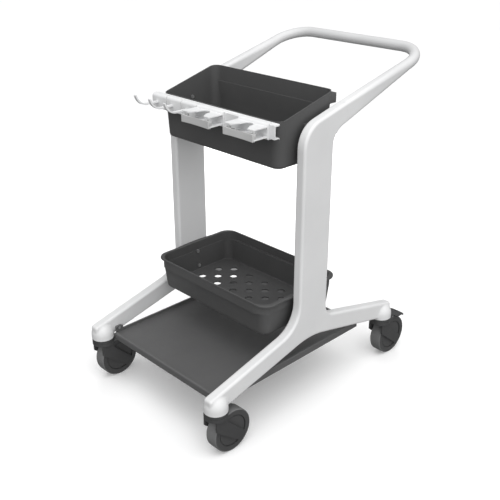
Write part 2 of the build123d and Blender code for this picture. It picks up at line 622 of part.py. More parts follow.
def base_shelf():
    """Shallow tray, ribbed underneath, with tabs that stand against the legs."""
    low = RIM_Z - SHELF_DROP
    high = low + SHELF_H
    deck = high - SHELF_RIM_H
    body = block((-SHELF_HALF_X, SHELF_FRONT_Y, low), (SHELF_HALF_X, SHELF_REAR_Y, high))
    body = fillet(body.faces().sort_by(Axis.Z)[-1].edges(), SHELF_LIP_R)
    for side in (1, -1):
        inner, outer = sorted((side * (SHELF_HALF_X - SHELF_RIM_W), side * SHELF_HALF_X))
        for y, z in shelf_screw_places():
            tab = block((inner, y - SHELF_TAB_W / 2, low + SHELF_WALL),
                        (outer, y + SHELF_TAB_W / 2, z + SHELF_TAB_MARGIN))
            body += fillet(tab.edges().filter_by(Axis.X).group_by(Axis.Z)[-1], SHELF_TAB_R)
    sockets = [(x, -STEM_Y) for x in (STEM_X, -STEM_X)]
    top = block((-SHELF_HALF_X + SHELF_RIM_W, SHELF_FRONT_Y + SHELF_RIM_W, deck),
                (SHELF_HALF_X - SHELF_RIM_W, SHELF_REAR_Y - SHELF_RIM_W, high + OVERCUT))
    top = fillet(top.edges().filter_by(Axis.Z), SHELF_WELL_R)
    well = block((-SHELF_HALF_X + SHELF_WALL, SHELF_FRONT_Y + SHELF_WALL, low - OVERCUT),
                 (SHELF_HALF_X - SHELF_WALL, SHELF_REAR_Y - SHELF_WALL, deck - SHELF_PLATE))
    for x in between(-SHELF_HALF_X, SHELF_HALF_X, SHELF_X_RIBS):
        well -= block((x - SHELF_RIB_T / 2, SHELF_FRONT_Y, low), (x + SHELF_RIB_T / 2, SHELF_REAR_Y, deck))
    for y in between(SHELF_FRONT_Y, SHELF_REAR_Y, SHELF_Y_RIBS):
        well -= block((-SHELF_HALF_X, y - SHELF_RIB_T / 2, low), (SHELF_HALF_X, y + SHELF_RIB_T / 2, deck))
    for x, y in sockets:
        top -= cylinder_z(SHELF_NOTCH_R + SHELF_WALL, low, high + 2 * OVERCUT, x, y)
        well -= cylinder_z(SHELF_NOTCH_R + SHELF_WALL, low - 2 * OVERCUT, deck, x, y)
    body -= top
    body -= well
    for x, y in sockets:
        body -= cylinder_z(SHELF_NOTCH_R, low - OVERCUT, high + SHELF_H, x, y)
    for side in (1, -1):
        for y, z in shelf_screw_places():
            start = SHELF_HALF_X - SHELF_RIM_W
            body -= end_cylinder(SCREW_R + SEAT_FIT, start - OVERCUT, SHELF_HALF_X + OVERCUT, side, y, z)
            body -= end_cone(start, side, y, z, SEAT_FIT)
    return body


def between(low, high, count):
    """Evenly spaced places between two ends."""
    return [low + (high - low) * (i + 1) / (count + 1) for i in range(count)]


def end_cone(near, side, y, z, fit):
    """Cone of a flush screw head that points outwards along X on one side."""
    cone = Cone(SCREW_HEAD_R + fit, SCREW_R + fit, SCREW_HEAD_H)
    return Pos(side * (near + SCREW_HEAD_H / 2), y, z) * Rot(0, side * 90, 0) * cone


def shelf_screws():
    screws = []
    seat = SHELF_HALF_X - SHELF_RIM_W
    for side in (1, -1):
        for y, z in shelf_screw_places():
            shank = end_cylinder(SCREW_R, seat + SCREW_HEAD_H / 2, POST_IN_X + SHELF_SCREW_GRIP, side, y, z)
            screws.append(end_cone(seat, side, y, z, 0) + shank)
    return screws


# Accessory rail, a channel that opens towards the top bin's front wall
RAIL_HIGH_Z = TOP_RIM_Z - RAIL_TOP_DROP
RAIL_LOW_Z = RAIL_HIGH_Z - RAIL_H
RAIL_MID_Z = (RAIL_HIGH_Z + RAIL_LOW_Z) / 2
RAIL_BACK_Y = -TOP_HALF_Y - POST_GAP
RAIL_FRONT_Y = RAIL_BACK_Y - RAIL_DEPTH


def top_front_y(z):
    """Outside of the top bin's leaning front wall at height z."""
    return -TOP_HALF_Y + TOP_BIN_DRAFT * (TOP_HIGH_Z - z) / (TOP_HIGH_Z - TOP_LOW_Z)


def rail_screw_places():
    places = []
    for i in range(RAIL_SCREWS):
        places.append(((i - (RAIL_SCREWS - 1) / 2) * RAIL_SCREW_PITCH, RAIL_MID_Z))
    return places


def accessory_rail():
    web_in = RAIL_FRONT_Y + RAIL_T
    profile = [
        (RAIL_FRONT_Y, RAIL_LOW_Z),
        (RAIL_BACK_Y - RAIL_FLARE, RAIL_LOW_Z),
        (RAIL_BACK_Y, RAIL_LOW_Z - RAIL_FLARE),
        (RAIL_BACK_Y, RAIL_LOW_Z - RAIL_FLARE + RAIL_T),
        (RAIL_BACK_Y - RAIL_FLARE, RAIL_LOW_Z + RAIL_T),
        (web_in, RAIL_LOW_Z + RAIL_T),
        (web_in, RAIL_HIGH_Z - RAIL_T),
        (RAIL_BACK_Y - RAIL_FLARE, RAIL_HIGH_Z - RAIL_T),
        (RAIL_BACK_Y, RAIL_HIGH_Z - RAIL_T + RAIL_FLARE),
        (RAIL_BACK_Y, RAIL_HIGH_Z + RAIL_FLARE),
        (RAIL_BACK_Y - RAIL_FLARE, RAIL_HIGH_Z),
        (RAIL_FRONT_Y, RAIL_HIGH_Z),
    ]
    body = extrude(Plane.YZ * make_face(Polyline(profile, close=True)), RAIL_L / 2, both=True)
    body = Pos(-RAIL_SHIFT, 0, 0) * body
    for x, z in rail_screw_places():
        body += cylinder_y(RAIL_BOSS_R, web_in - OVERCUT, top_front_y(z + RAIL_BOSS_R) - POST_GAP, x, z)
        body -= cylinder_y(SCREW_R + SEAT_FIT, RAIL_FRONT_Y - OVERCUT, -TOP_HALF_Y + RAIL_DEPTH, x, z)
        body -= countersink(x, z, SEAT_FIT)
    return body


def countersink(x, z, fit):
    """Cone of a flush screw head in the rail's web."""
    cone = Cone(SCREW_R + fit, SCREW_HEAD_R + fit, SCREW_HEAD_H)
    return Pos(x, RAIL_FRONT_Y + SCREW_HEAD_H / 2, z) * Rot(90, 0, 0) * cone


def rail_screws():
    screws = []
    for x, z in rail_screw_places():
        tip = top_front_y(z) + BIN_WALL + SCREW_HEAD_H
        screws.append(countersink(x, z, 0) + cylinder_y(SCREW_R, RAIL_FRONT_Y + SCREW_HEAD_H / 2, tip, x, z))
    return screws


def rail_clip(x, width):
    """Clip that grips the rail from the front, over its top and bottom flanges."""
    front = RAIL_FRONT_Y - CLIP_FIT
    back = front + CLIP_LIP
    profile = Polyline(
        (front - CLIP_T, RAIL_LOW_Z - CLIP_FIT - CLIP_LIP_T), (back, RAIL_LOW_Z - CLIP_FIT - CLIP_LIP_T),
        (back, RAIL_LOW_Z - CLIP_FIT), (front, RAIL_LOW_Z - CLIP_FIT),
        (front, RAIL_HIGH_Z + CLIP_FIT), (back, RAIL_HIGH_Z + CLIP_FIT),
        (back, RAIL_HIGH_Z + CLIP_FIT + CLIP_LIP_T),
        (front - CLIP_T, RAIL_HIGH_Z + CLIP_FIT + CLIP_LIP_T), close=True)
    body = extrude(Plane.YZ * make_face(profile), width / 2, both=True)
    low_nose, high_nose = body.edges().filter_by(Axis.X).group_by(Axis.Y)[0].sort_by(Axis.Z)
    body = fillet(high_nose, CLIP_TOP_R)
    low_nose = body.edges().filter_by(Axis.X).group_by(Axis.Y)[0].sort_by(Axis.Z)[0]
    return Pos(x, 0, 0) * fillet(low_nose, CLIP_R)


CLIP_FACE_Y = RAIL_FRONT_Y - CLIP_FIT - CLIP_T


def hook(x):
    """Clip with a flat J-hook that runs forward and curls up."""
    z = RAIL_MID_Z - HOOK_DROP + HOOK_T / 2
    start = CLIP_FACE_Y + CLIP_T / 2
    bend = CLIP_FACE_Y - HOOK_REACH
    turn = math.radians(HOOK_BEND)

    def on_bend(radius, angle):
        return (bend - radius * math.sin(angle), z + HOOK_BEND_R - radius * math.cos(angle))

    inner = HOOK_BEND_R - HOOK_T / 2
    outer = HOOK_BEND_R + HOOK_T / 2
    edges = [
        Line((start, z + HOOK_T / 2), (bend, z + HOOK_T / 2)),
        ThreePointArc(on_bend(inner, 0), on_bend(inner, turn / 2), on_bend(inner, turn)),
        ThreePointArc(on_bend(inner, turn), on_bend(HOOK_BEND_R, turn + HOOK_T / 2 / HOOK_BEND_R),
                      on_bend(outer, turn)),
        ThreePointArc(on_bend(outer, turn), on_bend(outer, turn / 2), on_bend(outer, 0)),
        Line((bend, z - HOOK_T / 2), (start, z - HOOK_T / 2)),
        Line((start, z - HOOK_T / 2), (start, z + HOOK_T / 2)),
    ]
    strip = extrude(Plane.YZ * make_face(edges), HOOK_W / 2, both=True)
    return rail_clip(x + HOOK_OFFSET, HOOK_CLIP_W) + Pos(x, 0, 0) * strip


def holder_outline():
    """Plan of a tool holder's plates: a plate with a round-ended notch that widens to the front."""
    back = CLIP_FACE_Y + CLIP_T / 2
    front = CLIP_FACE_Y - HOLDER_REACH
    half = HOLDER_W / 2
    plate = make_face(Polyline((-half, back), (half, back), (half, front), (-half, front), close=True))
    for x in (half, -half):
        plate = fillet(plate.vertices().sort_by_distance((x, front, 0))[0], HOLDER_CORNER_R)
    end = front + NOTCH_DEPTH - NOTCH_R
    widens = end - NOTCH_STRAIGHT
    mouth = NOTCH_MOUTH / 2
    notch = make_face(Polyline((-NOTCH_R, end), (-NOTCH_R, widens), (-mouth, front), (-mouth, front - OVERCUT),
                               (mouth, front - OVERCUT), (mouth, front), (NOTCH_R, widens), (NOTCH_R, end),
                               close=True))
    return plate - notch - Pos(0, end) * Circle(NOTCH_R)


def holder_pins():
    """Plan places of the pins at the front of a tool holder."""
    y = CLIP_FACE_Y - HOLDER_REACH + HOLDER_PIN_INSET
    x = HOLDER_W / 2 - HOLDER_PIN_INSET
    return [(x, y), (-x, y)]


HOLDER_LOW_Z = RAIL_MID_Z - HOLDER_H / 2


def tool_holder(x):
    """Clip with two notched plates and the pins that carry the grip band."""
    body = rail_clip(0, HOLDER_W)
    for z in (HOLDER_LOW_Z, HOLDER_LOW_Z + HOLDER_H - HOLDER_PLATE):
        body += extrude(Plane.XY.offset(z) * holder_outline(), HOLDER_PLATE)
    for px, py in holder_pins():
        body += cylinder_z(HOLDER_PIN_R, HOLDER_LOW_Z - HOLDER_PIN_TAIL, HOLDER_LOW_Z + HOLDER_H, px, py)
    return Pos(x, 0, 0) * body


def grip_band(x):
    """Rubber band across the mouth of a holder, hollowed at the front, with an eye round each pin."""
    pins = holder_pins()
    back_y = CLIP_FACE_Y - HOLDER_REACH - BAND_FIT
    front_y = back_y - BAND_T
    half = pins[0][0] + BAND_OVERHANG
    outline = [
        Polyline((half, front_y), (half, back_y), (-half, back_y), (-half, front_y)),
        ThreePointArc((-half, front_y), (0, front_y + BAND_SAG), (half, front_y)),
    ]
    low = RAIL_MID_Z - BAND_DROP - BAND_H / 2
    high = low + BAND_H
    strip = extrude(Plane.XY.offset(low) * make_face(outline), BAND_H)
    eye_r = HOLDER_PIN_R + BAND_EYE_WALL
    eye_low = HOLDER_LOW_Z + HOLDER_PLATE + BAND_FIT
    for px, py in pins:
        neck = block((px - eye_r, back_y - BAND_FIT, eye_low), (px + eye_r, py, high))
        strip += neck + cylinder_z(eye_r, eye_low, high, px, py)
    for px, py in pins:
        strip -= cylinder_z(HOLDER_PIN_R + SEAT_FIT, low, high, px, py)
    return Pos(x, 0, 0) * strip


# Casters, drawn with the stem on x = y = 0 and the wheel trailing to the rear
def caster_stem():
    """Stem with a lower head, pressed up into the frame's socket."""
    head_top = HEAD_UNDER_Z - SWIVEL_GAP
    return turned([(0, head_top - RIVET_H), (RIVET_R, head_top - RIVET_H), (RIVET_R, head_top),
                   (JOURNAL_R, head_top), (JOURNAL_R, RIM_Z), (STEM_R, RIM_Z),
                   (STEM_R, RIM_Z + STEM_L), (0, RIM_Z + STEM_L)], Axis.Z)


def swivel_bearing():
    """Bearing ring in the fork's head, round the stem."""
    low = HEAD_TOP_Z - BEARING_H
    return (cylinder_z(BEARING_R - SEAT_FIT, low, HEAD_TOP_Z)
            - cylinder_z(JOURNAL_R + RUN_FIT, low - OVERCUT, HEAD_TOP_Z + OVERCUT))


def on_circle(point, direction, radius):
    """Last point where a line meets the circle of this radius about the axle."""
    py = point[0] - TRAIL
    pz = point[1] - WHEEL_R
    along = py * direction[0] + pz * direction[1]
    reach = -along + math.sqrt(along ** 2 - (py ** 2 + pz ** 2 - radius ** 2))
    return (point[0] + reach * direction[0], point[1] + reach * direction[1])


def cheek_face():
    """Side view of a fork cheek: a broad band from the head down past the axle."""
    lower_dir = (math.cos(math.radians(CHEEK_LOWER_FALL)), -math.sin(math.radians(CHEEK_LOWER_FALL)))
    upper_dir = (math.cos(math.radians(CHEEK_UPPER_FALL)), -math.sin(math.radians(CHEEK_UPPER_FALL)))
    front_y = -CHEEK_HEAD_HALF
    lower = (front_y, HEAD_TOP_Z - CHEEK_LOWER_DROP)
    upper = (CHEEK_HEAD_HALF, HEAD_TOP_Z - CHEEK_UPPER_DROP)
    lower_end = on_circle(lower, lower_dir, CHEEK_END_R)
    upper_end = on_circle(upper, upper_dir, CHEEK_END_R)
    middle = [(lower_end[i] + upper_end[i]) / 2 - (TRAIL, WHEEL_R)[i] for i in range(2)]
    stretch = CHEEK_END_R / math.hypot(*middle)
    tip = (TRAIL + middle[0] * stretch, WHEEL_R + middle[1] * stretch)
    top = HEAD_UNDER_Z
    edges = [
        Polyline((front_y, top), (front_y, lower[1]), lower_end),
        ThreePointArc(lower_end, tip, upper_end),
        Polyline(upper_end, upper, (upper[0], top), (front_y, top)),
    ]
    return Plane.YZ * make_face(edges)


def fork(braked):
    """Moulded fork: round head and two cheeks, with hinge lugs where it has a brake."""
    skirt_z = HEAD_TOP_Z - FORK_SKIRT
    inner_r = FORK_R - FORK_WALL
    body = cylinder_z(FORK_R, skirt_z, HEAD_TOP_Z)
    for side in (1, -1):
        near = side * CHEEK_IN
        body += extrude(Pos(near, 0, 0) * cheek_face(), side * CHEEK_T, dir=(1, 0, 0))
    slot = cylinder_z(inner_r, skirt_z - OVERCUT, HEAD_UNDER_Z) & block(
        (-CHEEK_IN, -FORK_R, skirt_z - OVERCUT), (CHEEK_IN, FORK_R, HEAD_UNDER_Z))
    slot += block((-CHEEK_IN, 0, skirt_z - OVERCUT), (CHEEK_IN, FORK_R + OVERCUT, HEAD_UNDER_Z))
    body -= slot
    groove_z = HEAD_TOP_Z - HEAD_GROOVE_DROP
    groove = cylinder_z(FORK_R + OVERCUT, groove_z - HEAD_GROOVE_W, groove_z)
    body -= groove - cylinder_z(FORK_R - HEAD_GROOVE_DEPTH, groove_z - HEAD_GROOVE_W, groove_z)
    if braked:
        hinge_z = RIM_Z - PEDAL_HINGE_DROP
        for side in (1, -1):
            inner, outer = sorted((side * LUG_IN, side * (LUG_IN + LUG_T)))
            body += block((inner, BEARING_R, hinge_z - PEDAL_BARREL_R),
                          (outer, PEDAL_HINGE_Y, hinge_z + PEDAL_BARREL_R))
            body += cylinder_x(PEDAL_BARREL_R, inner, outer, PEDAL_HINGE_Y, hinge_z)
        body -= cylinder_x(PEDAL_PIN_R + SEAT_FIT, -FORK_R, FORK_R, PEDAL_HINGE_Y, hinge_z)
    body -= cylinder_z(BEARING_R, HEAD_TOP_Z - BEARING_H - SWIVEL_GAP, HEAD_TOP_Z + OVERCUT)
    body -= cylinder_z(JOURNAL_R + RUN_FIT, HEAD_UNDER_Z - OVERCUT, HEAD_TOP_Z + OVERCUT)
    return body - cylinder_x(AXLE_R + SEAT_FIT, -CHEEK_IN - AXLE_SEAT, CHEEK_IN + AXLE_SEAT, TRAIL, WHEEL_R)


def axle_pin():
    half = CHEEK_IN + AXLE_SEAT - SWIVEL_GAP
    return cylinder_x(AXLE_R, -half, half, TRAIL, WHEEL_R)


def wheel_core():
    """Moulded wheel: hub, disc, ring groove and side ring."""
    rim_r = WHEEL_R - TREAD_T
    ring_half = WHEEL_W / 2 - RING_INSET
    disc_half = ring_half - DISC_RECESS
    groove_half = ring_half - RING_GROOVE_DEPTH
    groove_in = RING_GROOVE_R - RING_GROOVE_W / 2
    groove_out = RING_GROOVE_R + RING_GROOVE_W / 2
    bore = AXLE_R + RUN_FIT + BUSH_WALL + SEAT_FIT
    right = [(HUB_R, HUB_HALF), (HUB_R, disc_half), (groove_in, disc_half), (groove_in, groove_half),
             (groove_out, groove_half), (groove_out, ring_half), (rim_r, ring_half)]
    left = [(r, -h) for r, h in reversed(right)]
    core = turned([(bore, HUB_HALF)] + right + left + [(bore, -HUB_HALF)], Axis.X)
    return Pos(0, TRAIL, WHEEL_R) * core


def wheel_tread():
    """Soft tread ring with rounded shoulders."""
    half = WHEEL_W / 2
    inner = WHEEL_R - TREAD_T
    corners = [(inner, -half), (WHEEL_R, -half), (WHEEL_R, half), (inner, half)]
    section = make_face(Polyline(corners, close=True))
    for corner in ((WHEEL_R, -half, 0), (WHEEL_R, half, 0)):
        section = fillet(section.vertices().sort_by_distance(corner)[0], TREAD_SHOULDER_R)
    return Pos(0, TRAIL, WHEEL_R) * revolve(WHEEL_PLANE * section, Axis.X)


def wheel_bushes():
    """Two plain bushes pressed into the hub, one from each side."""
    bushes = []
    for side in (1, -1):
        low, high = sorted((side * (HUB_HALF - BUSH_L), side * HUB_HALF))
        bush = cylinder_x(AXLE_R + RUN_FIT + BUSH_WALL, low, high)
        bush -= cylinder_x(AXLE_R + RUN_FIT, low - OVERCUT, high + OVERCUT)
        bushes.append(Pos(0, TRAIL, WHEEL_R) * bush)
    return bushes


# Brake of a rear caster
def brake_pedal():
    """Foot pedal: hinge barrel, fan-shaped plate bent down to its tip, and tread ribs."""
    hinge_z = RIM_Z - PEDAL_HINGE_DROP
    neck = LUG_IN - SWIVEL_GAP
    plate_top = hinge_z + PEDAL_T / 2
    past_lugs = PEDAL_HINGE_Y + PEDAL_BARREL_R + LUG_GAP
    half = PEDAL_W / 2
    fan_y = past_lugs + PEDAL_FAN
    plan = make_face(Polyline((neck, past_lugs), (half, fan_y), (half, PEDAL_TIP_Y), (-half, PEDAL_TIP_Y),
                              (-half, fan_y), (-neck, past_lugs), close=True))
    for x in (half, -half):
        plan = fillet(plan.vertices().sort_by_distance((x, PEDAL_TIP_Y, 0))[0], PEDAL_TIP_R)
    plate_low = plate_top - PEDAL_T
    tip_top = plate_top - PEDAL_FALL

    def bent(rise):
        """Side view of the plate, flat and then falling to its tip, with its top raised by rise."""
        side = Polyline((PEDAL_HINGE_Y, plate_top + rise), (PEDAL_BEND_Y, plate_top + rise),
                        (PEDAL_TIP_Y, tip_top + rise), (PEDAL_TIP_Y, tip_top - PEDAL_TIP_T),
                        (PEDAL_BEND_Y, plate_low), (PEDAL_HINGE_Y, plate_low), close=True)
        return extrude(Plane.YZ * make_face(side), PEDAL_W, both=True)

    above = RIM_Z
    body = bent(0) & extrude(Plane.XY.offset(tip_top - above) * plan, 2 * above)
    body += block((-neck, PEDAL_HINGE_Y, plate_low), (neck, past_lugs + PEDAL_LAP, plate_top))
    ribs = bent(PEDAL_RIB_H)
    for i in range(PEDAL_RIBS):
        y = PEDAL_TIP_Y - PEDAL_RIB_PITCH * (i + 1)
        body += ribs & block((-PEDAL_RIB_L / 2, y - PEDAL_RIB_W / 2, 0),
                             (PEDAL_RIB_L / 2, y + PEDAL_RIB_W / 2, above))
    body += cylinder_x(PEDAL_BARREL_R, -neck, neck, PEDAL_HINGE_Y, hinge_z)
    return body - cylinder_x(PEDAL_PIN_R + RUN_FIT, -half, half, PEDAL_HINGE_Y, hinge_z)


def pedal_pin():
    half = LUG_IN + LUG_T
    return cylinder_x(PEDAL_PIN_R, -half, half, PEDAL_HINGE_Y, RIM_Z - PEDAL_HINGE_DROP)


def brake_pad():
    """Rubber pad under the pedal, over the tread."""
    top = RIM_Z - PEDAL_HINGE_DROP - PEDAL_T / 2
    start = PEDAL_HINGE_Y + PAD_START
    return block((-PAD_W / 2, start, top - PAD_T), (PAD_W / 2, start + PAD_L, top))


# All pieces, by name
def all_pieces():
    frame = side_frame()
    rail_left = -RAIL_SHIFT - RAIL_L / 2
    pieces = {
        "frame_right": with_bolt_holes(frame, 1),
        "frame_left": with_bolt_holes(frame, -1),
        "handle": handle(),
        "handle_tongues": [tongue(STEM_X, 0), tongue(-STEM_X, 0)],
        "top_bin": top_bin(),
        "top_bin_bolts": bin_bolts(top_wall_in, TOP_LOW_Z + TOP_BOLT_Z),
        "lower_bin": low_bin(),
        "lower_bin_bolts": bin_bolts(low_wall_in, LOW_LOW_Z + LOW_BOLT_Z),
        "base_shelf": base_shelf(),
        "shelf_screws": shelf_screws(),
        "accessory_rail": accessory_rail(),
        "rail_screws": rail_screws(),
    }
    for i in range(3):
        pieces[f"hook_{i + 1}"] = hook(rail_left + HOOK_FIRST + i * HOOK_PITCH)
    for i in range(2):
        x = rail_left + HOLDER_FIRST + i * HOLDER_PITCH
        pieces[f"tool_holder_{i + 1}"] = tool_holder(x)
        pieces[f"grip_band_{i + 1}"] = grip_band(x)
    caster = {
        "caster_stem": caster_stem(),
        "swivel_bearing": swivel_bearing(),
        "axle_pin": axle_pin(),
        "wheel_core": wheel_core(),
        "wheel_tread": wheel_tread(),
        "wheel_bushes": wheel_bushes(),
    }
    brake = {"brake_pedal": brake_pedal(), "pedal_pin": pedal_pin(), "brake_pad": brake_pad()}
    forks = {"front": fork(False), "rear": fork(True)}
    for end, y in (("front", -STEM_Y), ("rear", STEM_Y)):
        for side, x in (("left", -STEM_X), ("right", STEM_X)):
            here = dict(caster, fork=forks[end])
            if end == "rear":
                here.update(brake)
            for name, shape in here.items():
                pieces[f"{name}_{end}_{side}"] = placed(shape, Pos(x, y, 0))
    return pieces


def placed(shape, location):
    """Piece, or list of like pieces, at a new place."""
    if isinstance(shape, list):
        return [location * item for item in shape]
    return location * shape


os.makedirs("parts", exist_ok=True)
for node, shape in all_pieces().items():
    shape = placed(shape, Pos(0, -ORIGIN_Y, 0))
    solids = [solid for item in (shape if isinstance(shape, list) else [shape]) for solid in item.solids()]
    whole = solids[0] if len(solids) == 1 else Compound(children=solids)
    export_step(whole, f"parts/{node}.step")
    print(node, len(solids), "solids")
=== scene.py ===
import math

import bpy
import numpy as np
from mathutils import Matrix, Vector


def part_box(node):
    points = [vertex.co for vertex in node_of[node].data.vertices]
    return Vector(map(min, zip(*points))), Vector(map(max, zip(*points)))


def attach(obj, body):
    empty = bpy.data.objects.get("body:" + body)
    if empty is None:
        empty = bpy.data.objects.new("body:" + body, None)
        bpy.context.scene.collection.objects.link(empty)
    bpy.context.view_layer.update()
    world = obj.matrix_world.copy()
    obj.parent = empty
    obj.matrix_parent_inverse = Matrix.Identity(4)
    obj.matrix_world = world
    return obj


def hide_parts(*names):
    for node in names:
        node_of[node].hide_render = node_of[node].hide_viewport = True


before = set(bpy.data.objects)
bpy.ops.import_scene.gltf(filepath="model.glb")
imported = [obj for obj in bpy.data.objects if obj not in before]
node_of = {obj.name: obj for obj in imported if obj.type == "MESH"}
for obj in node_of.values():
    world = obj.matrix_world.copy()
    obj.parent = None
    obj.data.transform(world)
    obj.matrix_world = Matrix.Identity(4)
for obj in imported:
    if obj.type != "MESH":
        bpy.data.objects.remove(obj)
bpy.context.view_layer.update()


# Side frames
# Two one-piece legs-and-post frames in off-white polypropylene, moulded with a fine spark finish, and
# bolted to the bins and the shelf from inside.
FRAME_WHITE = (0.742, 0.744, 0.746)
FRAME_WHITE_DEEP = (0.700, 0.703, 0.707)
FRAME_EDGE = (0.800, 0.803, 0.806)
FRAME_FINISH = {"roughness": 0.44, "gloss": 0.45, "grain_depth": 0.10}
GRAIN_TO_METRE = 1500.0
GRAIN_HEIGHT = 0.0002
DUST_TO_GRAIN = 2.5
SPECKS_TO_GRAIN = 0.25
SPECK_SHARE = 0.35
CLOUDS_TO_METRE = 7.0
EDGE_PATCHES_TO_METRE = 60.0
GLOSS_TO_METRE = 22.0
GLOSS_WANDER = 0.05
NOISE_ROUGHNESS = 0.55
EDGE_RADIUS = 0.0009
EDGE_SAMPLES = 4
EDGE_COSINE = 0.80
FLAT_COSINE = 0.995
MIX_FIRST, MIX_SECOND, MIX_COLOUR = 6, 7, 2


def new_finish(name, roughness, gloss):
    """Empty material with one shader; what is the same all over is set on the shader's own sockets."""
    finish = bpy.data.materials.new(name)
    finish.use_nodes = True
    shader = finish.node_tree.nodes["Principled BSDF"]
    shader.inputs["Roughness"].default_value = roughness
    shader.inputs["Specular IOR Level"].default_value = gloss
    return finish, finish.node_tree, shader


def feed(tree, socket, value):
    """Links a node's output to the socket, or sets the socket to a plain value or colour."""
    if isinstance(value, bpy.types.NodeSocket):
        tree.links.new(value, socket)
    elif socket.type == "RGBA":
        socket.default_value = (*value, 1.0)
    else:
        socket.default_value = value


def add_node(tree, kind, settings=None, **sockets):
    """Adds a node, sets its options and feeds the sockets that are named."""
    node = tree.nodes.new(kind)
    for option, value in (settings or {}).items():
        setattr(node, option, value)
    for socket_name, value in sockets.items():
        feed(tree, node.inputs[socket_name.replace("_", " ")], value)
    return node


def reckon(tree, kind, operation, first, second):
    """Number that a Math or Vector Math node makes of two values."""
    node = add_node(tree, kind, {"operation": operation})
    feed(tree, node.inputs[0], first)
    feed(tree, node.inputs[1], second)
    return node.outputs["Value"]


def spread(tree, value, low=0.0, high=1.0, to_low=0.0, to_high=1.0):
    """Value carried over in a straight line, low to to_low and high to to_high, and held beyond them."""
    carry = add_node(tree, "ShaderNodeMapRange", Value=value, From_Min=low, From_Max=high,
                     To_Min=to_low, To_Max=to_high)
    return carry.outputs["Result"]


def object_place(tree, stretch=(1.0, 1.0, 1.0)):
    """Object coordinates, stretched per axis by a Mapping node so that a pattern can run one way."""
    place = add_node(tree, "ShaderNodeTexCoord")
    mapping = add_node(tree, "ShaderNodeMapping", Vector=place.outputs["Object"], Scale=stretch)
    return mapping.outputs["Vector"]


def cloud(tree, place, scale, detail=3.0, low=0.35, high=0.65):
    """Soft noise of so many waves to the metre, spread from 0 to 1 between its low and high values."""
    noise = add_node(tree, "ShaderNodeTexNoise", Vector=place, Scale=scale, Detail=detail,
                     Roughness=NOISE_ROUGHNESS)
    return spread(tree, noise.outputs["Fac"], low, high)


def shade_between(tree, share, first, second):
    """Colour that goes from first to second as share goes from 0 to 1."""
    mix = add_node(tree, "ShaderNodeMix", {"data_type": "RGBA"}, Factor=share)
    feed(tree, mix.inputs[MIX_FIRST], first)
    feed(tree, mix.inputs[MIX_SECOND], second)
    return mix.outputs[MIX_COLOUR]


def rounded_edges(tree, radius):
    """Normal rounded off over radius at every edge, and a mask that is 1 on edges and 0 on flats.

    The mask is the cosine between the rounded and the true normal, spread from flat to edge.
    """
    round_off = add_node(tree, "ShaderNodeBevel", {"samples": EDGE_SAMPLES}, Radius=radius)
    surface = add_node(tree, "ShaderNodeNewGeometry")
    cosine = reckon(tree, "ShaderNodeVectorMath", "DOT_PRODUCT", round_off.outputs["Normal"],
                    surface.outputs["Normal"])
    return round_off.outputs["Normal"], spread(tree, cosine, FLAT_COSINE, EDGE_COSINE)


def moulded(name, shade, deep, edge, roughness, gloss, grain_depth, grain=GRAIN_TO_METRE,
            radius=EDGE_RADIUS, paint=None):
    """Moulded plastic or rubber: clouded colour, paler edges that are partly wear and partly painted
    highlight, fine spark grain and uneven gloss.

    The colour is shade, clouded towards deep by a broad and a fine noise and towards edge on the edges;
    where paint is given, it adds shade and deep to the tree. The height is a cell grain plus a finer
    noise, and the roughness wanders a little either way.
    """
    finish, tree, shader = new_finish(name, roughness, gloss)
    if paint:
        shade, deep = paint(tree)
    place = object_place(tree)
    normal, on_edge = rounded_edges(tree, radius)
    clouded = shade_between(tree, cloud(tree, place, CLOUDS_TO_METRE), shade, deep)
    specks = cloud(tree, place, grain * SPECKS_TO_GRAIN, detail=2.0, low=0.42, high=0.70)
    fine = reckon(tree, "ShaderNodeMath", "MULTIPLY", specks, SPECK_SHARE)
    speckled = shade_between(tree, fine, clouded, deep)
    # Paler colour on the edges, in patches: partly wear, partly painted highlight along the edges.
    wear_and_highlight_patches = cloud(tree, place, EDGE_PATCHES_TO_METRE, detail=4.0, low=0.30, high=0.60)
    worn_and_highlit = reckon(tree, "ShaderNodeMath", "MULTIPLY", on_edge, wear_and_highlight_patches)
    feed(tree, shader.inputs["Base Color"], shade_between(tree, worn_and_highlit, speckled, edge))
    cells = add_node(tree, "ShaderNodeTexVoronoi", {"feature": "F1"}, Vector=place, Scale=grain)
    dust = add_node(tree, "ShaderNodeTexNoise", Vector=place, Scale=grain * DUST_TO_GRAIN, Detail=2.0)
    height = reckon(tree, "ShaderNodeMath", "ADD", cells.outputs["Distance"], dust.outputs["Fac"])
    bump = add_node(tree, "ShaderNodeBump", Strength=grain_depth, Distance=GRAIN_HEIGHT,
                    Height=height, Normal=normal)
    feed(tree, shader.inputs["Normal"], bump.outputs["Normal"])
    sheen = spread(tree, cloud(tree, place, GLOSS_TO_METRE, detail=5.0),
                   to_low=roughness - GLOSS_WANDER, to_high=roughness + GLOSS_WANDER)
    feed(tree, shader.inputs["Roughness"], sheen)
    return finish


def dress(finish, *names):
    """Gives CAD nodes this finish in their only material slot."""
    for name in names:
        node_of[name].data.materials.clear()
        node_of[name].data.materials.append(finish)


frame_white = moulded("frame_white", FRAME_WHITE, FRAME_WHITE_DEEP, FRAME_EDGE, **FRAME_FINISH)
dress(frame_white, "frame_left", "frame_right")


# Push handle
# One off-white loop that grows out of the frames' arms, flat at its roots and round at the grip, with
# painted shade that darkens it towards the grip, pushed on to two hidden tongues in the bins' dark grey
# polypropylene.
# Grip colours: painted shade, a darker white than the frame's that the handle fades to along Y.
GRIP_SHADED_WHITE = (0.625, 0.627, 0.630)
GRIP_SHADED_WHITE_DEEP = (0.588, 0.591, 0.595)
BIN_GREY = (0.0800, 0.0802, 0.0806)
BIN_GREY_DEEP = (0.0748, 0.0750, 0.0754)
BIN_EDGE = (0.118, 0.119, 0.120)
ARM_ROOT_Y, GRIP_Y = (corner[1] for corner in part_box("handle"))


